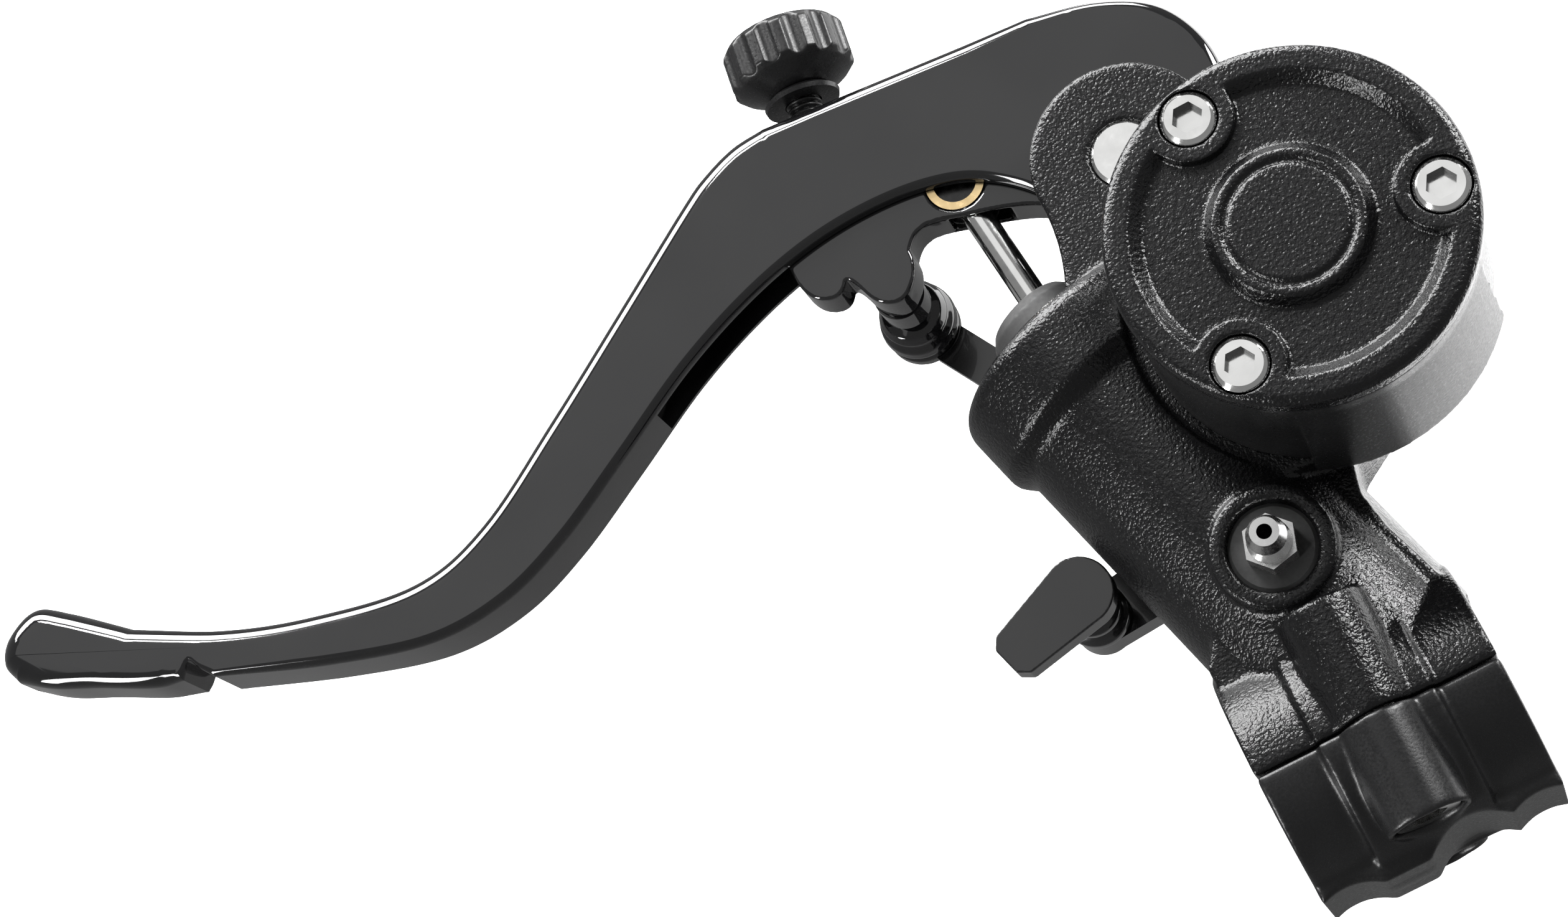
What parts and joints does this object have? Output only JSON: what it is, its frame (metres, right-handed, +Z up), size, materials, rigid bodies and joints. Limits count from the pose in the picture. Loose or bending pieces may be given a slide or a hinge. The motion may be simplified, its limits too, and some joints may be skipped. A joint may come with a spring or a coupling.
{
  "type": "brake master cylinder",
  "caption": "Radial hydraulic master cylinder with bar clamp, round reservoir, bleeder and a bowed hand lever with a reach-adjusting knob.",
  "frame": {"origin": "centre of the handlebar clamp's bore, midway along the clamp", "axes": "+X along the handlebar, away from the lever's tip; +Y from the bar forward to the lever; +Z up to the reservoir lid"},
  "size_m": [0.2327, 0.1625, 0.0745],
  "materials": {
    "cast_black": "textured black powder coat on a casting",
    "satin_black": "fine satin black coat",
    "gloss_black": "deep gloss black coat",
    "bright_steel": "bright plated steel",
    "plain_steel": "plain machined steel",
    "brass": "machined brass",
    "aluminium": "hard anodised aluminium",
    "rubber": "matte black rubber",
    "black_plastic": "moulded black plastic"
  },
  "bodies": {
    "cylinder": {"cylinder_body": "cast_black", "clamp_cap": "satin_black", "clamp_bolts": "bright_steel", "reservoir_body": "satin_black", "spigot_seal": "rubber", "reservoir_screws": "plain_steel", "reservoir_diaphragm": "rubber", "reservoir_cover": "cast_black", "cover_screws": "bright_steel", "bleeder_screw": "plain_steel", "bleeder_washer": "rubber", "pivot_pin": "bright_steel", "pivot_clip": "plain_steel", "return_spring": "plain_steel", "piston_circlip": "plain_steel", "boot": "rubber", "switch_housing": "black_plastic", "switch_screws": "plain_steel"},
    "arm": {"lever_arm": "gloss_black", "arm_bush": "brass", "ball_stud": "gloss_black"},
    "blade": {"lever_blade": "gloss_black"},
    "feed": {"adjuster_washer": "satin_black"},
    "knob": {"adjuster_knob": "satin_black", "adjuster_screw": "satin_black"},
    "pushrod": {"pushrod": "bright_steel", "trunnion": "brass"},
    "link": {"link_socket": "gloss_black", "link_strap": "black_plastic"},
    "piston": {"piston": "aluminium", "primary_cup": "rubber", "secondary_cup": "rubber"},
    "paddle": {"paddle": "black_plastic", "paddle_post": "black_plastic"}
  },
  "joints": [
    {"name": "lever_pull", "type": "hinge", "parent": "cylinder", "child": "arm", "pos_m": [0.0057, 0.0928, 0], "axis": [0, 0, 1], "range_deg": [0, 20], "stiffness_Nm_per_rad": 1, "springref_deg": -14.32},
    {"name": "piston_slide", "type": "slide", "parent": "cylinder", "child": "piston", "axis": [-0.2756, 0.9613, 0], "range_m": [-0.0085, 0.0001], "deforming": ["return_spring"]},
    {"name": "pushrod_swing", "type": "hinge", "parent": "arm", "child": "pushrod", "pos_m": [-0.0188, 0.1053, 0], "axis": [0, 0, 1], "range_deg": [-12, 0.5]},
    {"name": "link_swing", "type": "hinge", "parent": "arm", "child": "link", "pos_m": [-0.0345, 0.096, -0.018], "axis": [0, 0, 1], "range_deg": [-8, 0.5]},
    {"name": "blade_reach", "type": "hinge", "parent": "arm", "child": "blade", "pos_m": [0.0057, 0.0928, 0], "axis": [0, 0, 1], "range_deg": [-2.65, 2.65]},
    {"name": "knob_feed", "type": "slide", "parent": "blade", "child": "feed", "axis": [0.1132, 0.9936, 0], "range_m": [-0.00205, 0.00205]},
    {"name": "knob_turn", "type": "hinge", "parent": "feed", "child": "knob", "pos_m": [-0.0347, 0.1271, 0], "axis": [0.1132, 0.9936, 0], "range_deg": [-720, 720]},
    {"name": "paddle_turn", "type": "hinge", "parent": "cylinder", "child": "paddle", "pos_m": [-0.0303, 0.0412, -0.015], "axis": [0, 0, 1], "range_deg": [-35, 35]}
  ],
  "couplings": [
    {"joint": "piston_slide", "follows": "lever_pull", "m_per_rad": -0.023},
    {"joint": "pushrod_swing", "follows": "lever_pull", "ratio": -0.56},
    {"joint": "link_swing", "follows": "lever_pull", "ratio": -0.37},
    {"joint": "blade_reach", "follows": "knob_turn", "ratio": 0.0036153},
    {"joint": "knob_feed", "follows": "knob_turn", "m_per_rad": 0.00015915}
  ]
}
